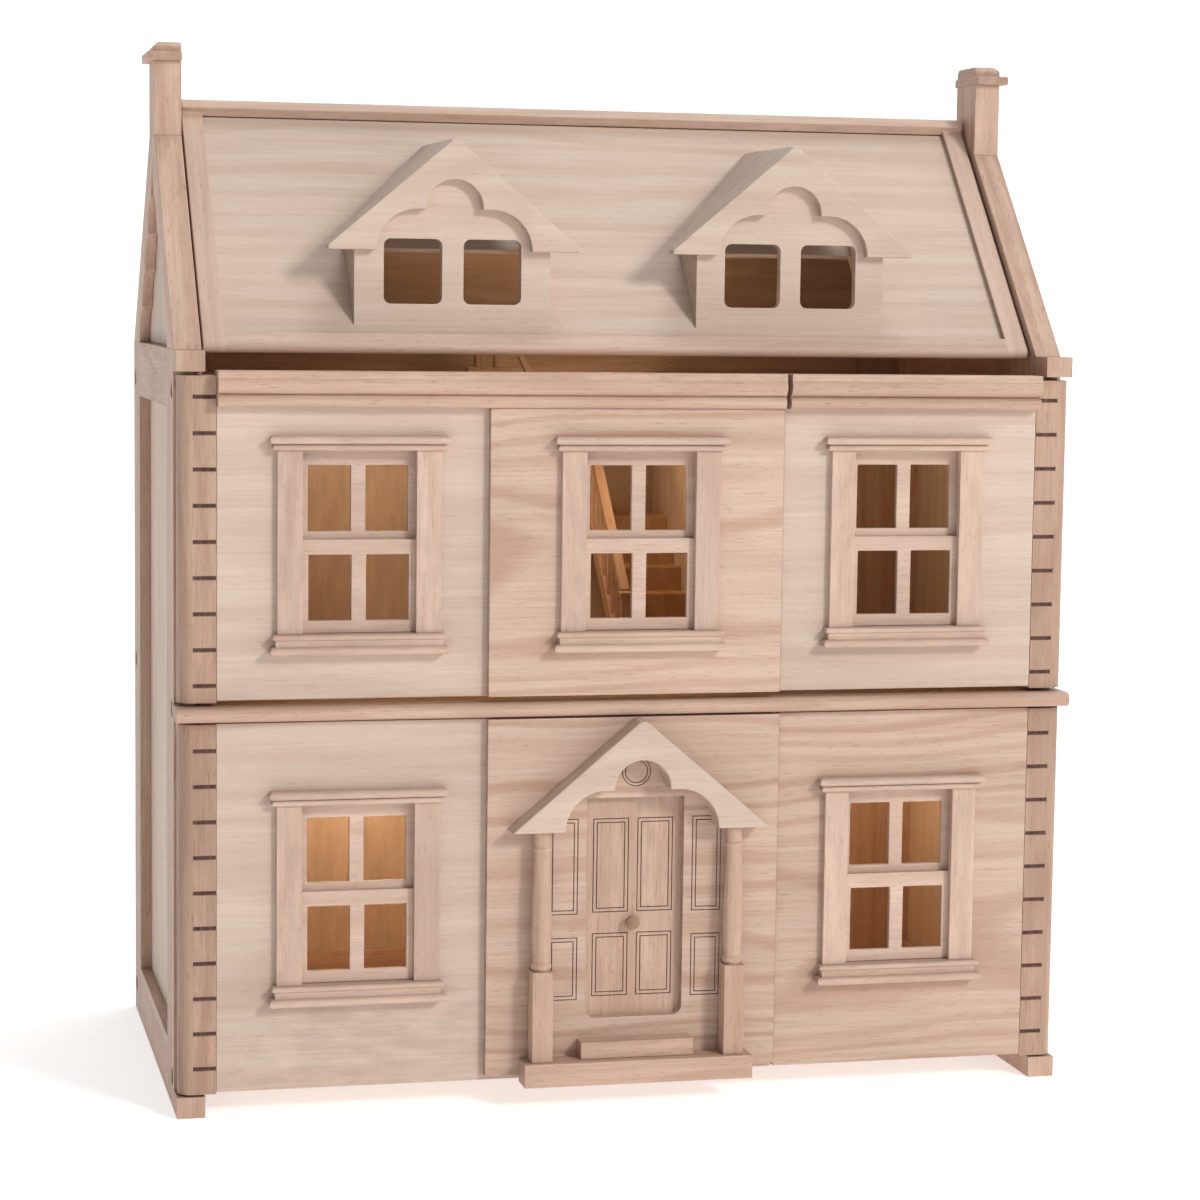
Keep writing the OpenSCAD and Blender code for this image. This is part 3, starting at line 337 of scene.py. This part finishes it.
def grain_group():
    """Geometry nodes that lay a grain frame into each separate solid of a mesh.

    The grain runs along the longest side of a solid unless Along names an axis. Tilt turns
    the frame to a slope that rises towards Middle from both sides.
    """
    tree = bpy.data.node_groups.new("lay_grain", "GeometryNodeTree")
    shape = tree.interface.new_socket("Geometry", in_out="INPUT",
                                      socket_type="NodeSocketGeometry")
    for name in ("Tilt", "Middle", "Along", "Seed"):
        tree.interface.new_socket(name, in_out="INPUT", socket_type="NodeSocketFloat")
    tree.interface.new_socket("Geometry", in_out="OUTPUT", socket_type="NodeSocketGeometry")
    g = Graph(tree)
    given = g.node("NodeGroupInput").outputs
    island = g.node("GeometryNodeInputMeshIsland").outputs["Island Index"]
    place = g.node("GeometryNodeInputPosition").outputs[0]

    def total(value, kind):
        n = g.node("GeometryNodeAccumulateField", data_type=kind, domain="POINT")
        g.put(next(s for s in n.inputs if s.name == "Value" and s.enabled), value)
        g.put(next(s for s in n.inputs if s.name.startswith("Group")), island)
        return next(s for s in n.outputs if s.name == "Total" and s.enabled)

    def turned(vector, angle):
        n = g.node("ShaderNodeVectorRotate", rotation_type="X_AXIS")
        g.put(n.inputs["Vector"], vector)
        g.put(n.inputs["Angle"], angle)
        return n.outputs[0]

    def mean(vector):
        share = g.math("DIVIDE", 1.0, total(1.0, "FLOAT"))
        scaled = g.vmath("SCALE", total(vector, "FLOAT_VECTOR"))
        g.put(scaled.node.inputs["Scale"], share)
        return scaled

    in_front = g.math("LESS_THAN", g.split(mean(place))[1], given["Middle"])
    sign = g.math("SUBTRACT", g.math("MULTIPLY", in_front, 2.0), 1.0)
    angle = g.math("MULTIPLY", given["Tilt"], sign)
    local = turned(place, g.math("MULTIPLY", angle, -1.0))
    offset = g.vmath("SUBTRACT", local, mean(local))
    spread = g.split(total(g.vmath("MULTIPLY", offset, offset), "FLOAT_VECTOR"))
    widest_x = g.math("MULTIPLY", g.math("GREATER_THAN", spread[0], spread[1]),
                      g.math("GREATER_THAN", spread[0], spread[2]))
    widest_z = g.math("MULTIPLY", g.math("SUBTRACT", 1.0, widest_x),
                      g.math("GREATER_THAN", spread[2], spread[1]))
    free = g.math("LESS_THAN", given["Along"], 0.5)

    def chosen(widest, axis):
        named = g.math("COMPARE", given["Along"], axis, 0.1)
        return g.math("ADD", g.math("MULTIPLY", free, widest), named)

    on_x, on_z = chosen(widest_x, ALONG_X), chosen(widest_z, ALONG_Z)
    on_y = g.math("SUBTRACT", g.math("SUBTRACT", 1.0, on_x), on_z)
    x, y, z = g.split(offset)

    def by_axis(a, b, c):
        first_two = g.math("ADD", g.math("MULTIPLY", on_x, a), g.math("MULTIPLY", on_y, b))
        return g.math("ADD", first_two, g.math("MULTIPLY", on_z, c))

    pith = g.node("FunctionNodeRandomValue", data_type="FLOAT_VECTOR")
    pith.inputs["Min"].default_value = PITH_MIN
    pith.inputs["Max"].default_value = PITH_MAX
    luck = g.node("FunctionNodeRandomValue", data_type="FLOAT")
    for n in (pith, luck):
        g.put(next(s for s in n.inputs if s.name == "ID"), island)
        g.put(n.inputs["Seed"], given["Seed"])
    frame_place = g.join(by_axis(x, y, z), by_axis(z, z, x), by_axis(y, x, y))
    frame_place = g.vmath("ADD", frame_place, pith.outputs["Value"])

    # a face whose area is small for its edges is part of an eased edge
    ends = g.node("GeometryNodeInputMeshEdgeVertices").outputs
    length = g.vmath("LENGTH", g.vmath("SUBTRACT", ends["Position 1"], ends["Position 2"]))
    area = g.node("GeometryNodeInputMeshFaceArea").outputs[0]
    width = g.math("DIVIDE", area, g.math("MULTIPLY", length, 2.0))
    narrow = g.math("LESS_THAN", width, NARROW_MM * MM)

    flow = given[shape.name]
    lucky = next(s for s in luck.outputs if s.enabled)
    for name, kind, domain, value in (
            ("gco", "FLOAT_VECTOR", "POINT", frame_place),
            ("gaxis", "FLOAT_VECTOR", "POINT", turned(g.join(on_x, on_y, on_z), angle)),
            ("gseed", "FLOAT", "POINT", lucky),
            ("gedge", "FLOAT", "FACE", narrow)):
        n = g.node("GeometryNodeStoreNamedAttribute", data_type=kind, domain=domain)
        g.put(n.inputs["Geometry"], flow)
        n.inputs["Name"].default_value = name
        g.put(next(s for s in n.inputs if s.name == "Value" and s.enabled), value)
        flow = n.outputs[0]
    g.put(g.node("NodeGroupOutput").inputs[0], flow)
    return tree


GRAIN = grain_group()
SOCKET = {i.name: i.identifier for i in GRAIN.interface.items_tree if i.in_out == "INPUT"}
RIDGE_Y = sum(corner[1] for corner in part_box("chimneys")) / 2


def look_of(name):
    """The material of a node. Burnt nodes and one-piece frames get one of their own."""
    if SLOT_OF[name] == "bolt_metal":
        return BOLT
    kind = KIND_OF_SLOT[SLOT_OF[name]]
    if name in FIGURED:
        kind = "figured"
    if name in POSTS:
        kind = "deep"
    if name in PALE:
        kind = "ply"
    if "casing" in name or "sash" in name or name == "front_roof_frame":
        kind = "pink"
    if name in BURNT:
        return wood(name + "_wood", **KINDS[kind], burnt_front=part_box(name)[0][1])
    if name in STILE_W:
        return wood(name + "_wood", **KINDS[kind],
                    stiles_from=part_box(name)[1][0] - STILE_W[name])
    return MATS[kind]


def finish_node(name, obj, seed):
    """Keeps the CAD node, eases its edges, lays in the grain and gives it its material."""
    for slot in obj.material_slots:
        slot.link = "OBJECT"
        slot.material = look_of(name)
    weld = obj.modifiers.new("weld", "WELD")
    weld.merge_threshold = WELD_MM * MM
    flat = obj.modifiers.new("flat_faces", "DECIMATE")
    flat.decimate_type = "DISSOLVE"
    flat.angle_limit = COPLANAR
    width = BEVEL_MM.get(name, EASED_MM)
    if width:
        bevel = obj.modifiers.new("eased_edges", "BEVEL")
        bevel.width = width * MM
        bevel.segments = 2
        bevel.limit_method = "ANGLE"
        bevel.angle_limit = SHARP
        bevel.use_clamp_overlap = True
    lay = obj.modifiers.new("grain", "NODES")
    lay.node_group = GRAIN
    along = ALONG_X if name in GRAIN_X else ALONG_Z if name in GRAIN_Z else 0.0
    middle = FAR if TILT.get(name) == STAIR_SLOPE else RIDGE_Y
    for key, value in (("Tilt", TILT.get(name, 0.0)), ("Middle", middle), ("Along", along),
                       ("Seed", float(seed))):
        lay[SOCKET[key]] = value
    smooth = obj.modifiers.new("shading", "WEIGHTED_NORMAL")
    smooth.keep_sharp = True


for number, node_name in enumerate(sorted(NODES)):
    finish_node(node_name, NODES[node_name], number)

# ---------------------------------------------------------------- stage, light, camera


PAPER_GLOW = 0.52
SKY_LEFT, SKY_RIGHT = 0.14, 0.66
LAMP_COLOUR, LAMP_RADIUS = (1.0, 0.75, 0.43), 0.03
# Place and watts of the lamp in each room
LAMPS = {
    "lamp_lower_left": ((-0.15, 0.06, 0.22), 0.62),
    "lamp_upper_left": ((-0.15, 0.06, 0.44), 0.17),
    "lamp_lower_right": ((0.19, 0.04, 0.22), 0.36),
    "lamp_upper_right": ((0.19, 0.04, 0.44), 0.14),
    "lamp_stairs": ((0.00, 0.00, 0.45), 0.23),
    "lamp_attic": ((0.0, -0.05, 0.55), 0.22),
}
LENS_MM, SENSOR_MM = 91.34, 36.0


def add_object(name, data):
    o = bpy.data.objects.new(name, data)
    bpy.context.scene.collection.objects.link(o)
    return o


def sweep():
    """Pale floor that curves up into a backdrop far behind."""
    bm = bmesh.new()
    front, back, turn, rise, half_width, steps = -6.0, 5.0, 3.0, 7.0, 14.0, 12
    profile = [(front, 0.0), (back, 0.0)]
    for i in range(1, steps + 1):
        a = math.radians(90 * i / steps)
        profile.append((back + turn * math.sin(a), turn * (1 - math.cos(a))))
    profile.append((back + turn, rise + turn))
    rows = [[bm.verts.new((x, y, z)) for x in (-half_width, half_width)] for y, z in profile]
    for a, b in zip(rows, rows[1:]):
        bm.faces.new((a[0], a[1], b[1], b[0]))
    mesh = bpy.data.meshes.new("sweep")
    bm.to_mesh(mesh)
    bm.free()
    mesh.shade_smooth()
    mat, g = new_material("studio_paper")
    p = g.node("ShaderNodeTexCoord").outputs["Object"]
    n = g.noise(p, 3.0, 2.0)
    shader = g.node("ShaderNodeBsdfPrincipled")
    g.put(shader.inputs["Base Color"], g.mix(n, (0.93, 0.93, 0.93), (0.90, 0.90, 0.90)))
    shader.inputs["Roughness"].default_value = 0.95
    shader.inputs["Specular IOR Level"].default_value = 0.1
    shader.inputs["Emission Color"].default_value = (1.0, 1.0, 1.0, 1.0)
    shader.inputs["Emission Strength"].default_value = PAPER_GLOW
    out = g.node("ShaderNodeOutputMaterial")
    g.put(out.inputs["Surface"], shader.outputs[0])
    mesh.materials.append(mat)
    o = add_object("sweep", mesh)


def area(name, where, aim, size, watts, colour):
    """Round soft light turned towards a point."""
    light = bpy.data.lights.new(name, "AREA")
    light.shape = "DISK"
    light.size = size
    light.energy = watts
    light.color = colour
    o = add_object(name, light)
    o.location = where
    o.rotation_mode = "QUATERNION"
    o.rotation_quaternion = (Vector(aim) - Vector(where)).to_track_quat("-Z", "Y")


sweep()
world = bpy.data.worlds.new("studio")
bpy.context.scene.world = world
world.use_nodes = True
# the room is a little darker on the left
sky = Graph(world.node_tree)
across = sky.split(sky.node("ShaderNodeTexCoord").outputs["Generated"])[0]
background = sky.node("ShaderNodeBackground")
background.inputs["Color"].default_value = (1.0, 0.995, 0.985, 1.0)
sky.put(background.inputs["Strength"], sky.remap(across, -0.9, 0.7, SKY_LEFT, SKY_RIGHT))
sky.put(sky.node("ShaderNodeOutputWorld").inputs["Surface"], background.outputs[0])
area("key", where=(3.1, -4.9, 3.3), aim=(0, 0, 0.35), size=1.3, watts=190.0,
     colour=(1.0, 0.99, 0.975))
area("top", where=(0.6, 0.4, 3.4), aim=(0, 0, 0.6), size=1.6, watts=30.0,
     colour=(1.0, 0.995, 0.99))
area("fill", where=(-2.2, -4.4, 1.2), aim=(0, 0, 0.30), size=2.6, watts=5.0,
     colour=(1.0, 0.995, 0.99))


def room_light(name, where, watts):
    """Small warm lamp that stands for the light inside the rooms."""
    light = bpy.data.lights.new(name, "POINT")
    light.energy = watts
    light.shadow_soft_size = LAMP_RADIUS
    light.color = LAMP_COLOUR
    add_object(name, light).location = where


for lamp, (lamp_place, lamp_watts) in LAMPS.items():
    room_light(lamp, lamp_place, lamp_watts)

CAM_POS = Vector((-0.508, -2.176, 0.558))
YAW, PITCH, ROLL = math.radians(13.411), math.radians(5.729), math.radians(0.733)
forward = Vector((math.sin(YAW) * math.cos(PITCH), math.cos(YAW) * math.cos(PITCH),
                  -math.sin(PITCH)))
level = Vector((math.cos(YAW), -math.sin(YAW), 0))
upright = level.cross(forward)
right = math.cos(ROLL) * level + math.sin(ROLL) * upright
up = -math.sin(ROLL) * level + math.cos(ROLL) * upright
camera_data = bpy.data.cameras.new("camera")
camera_data.sensor_width = SENSOR_MM
camera_data.lens = LENS_MM
camera_data.clip_start = 0.05
camera_data.clip_end = 100.0
camera = add_object("camera", camera_data)
camera.matrix_world = Matrix.Translation(CAM_POS) @ Matrix((
    (right.x, up.x, -forward.x, 0), (right.y, up.y, -forward.y, 0),
    (right.z, up.z, -forward.z, 0), (0, 0, 0, 1)))
bpy.context.scene.camera = camera
bpy.context.scene.view_settings.view_transform = "Standard"
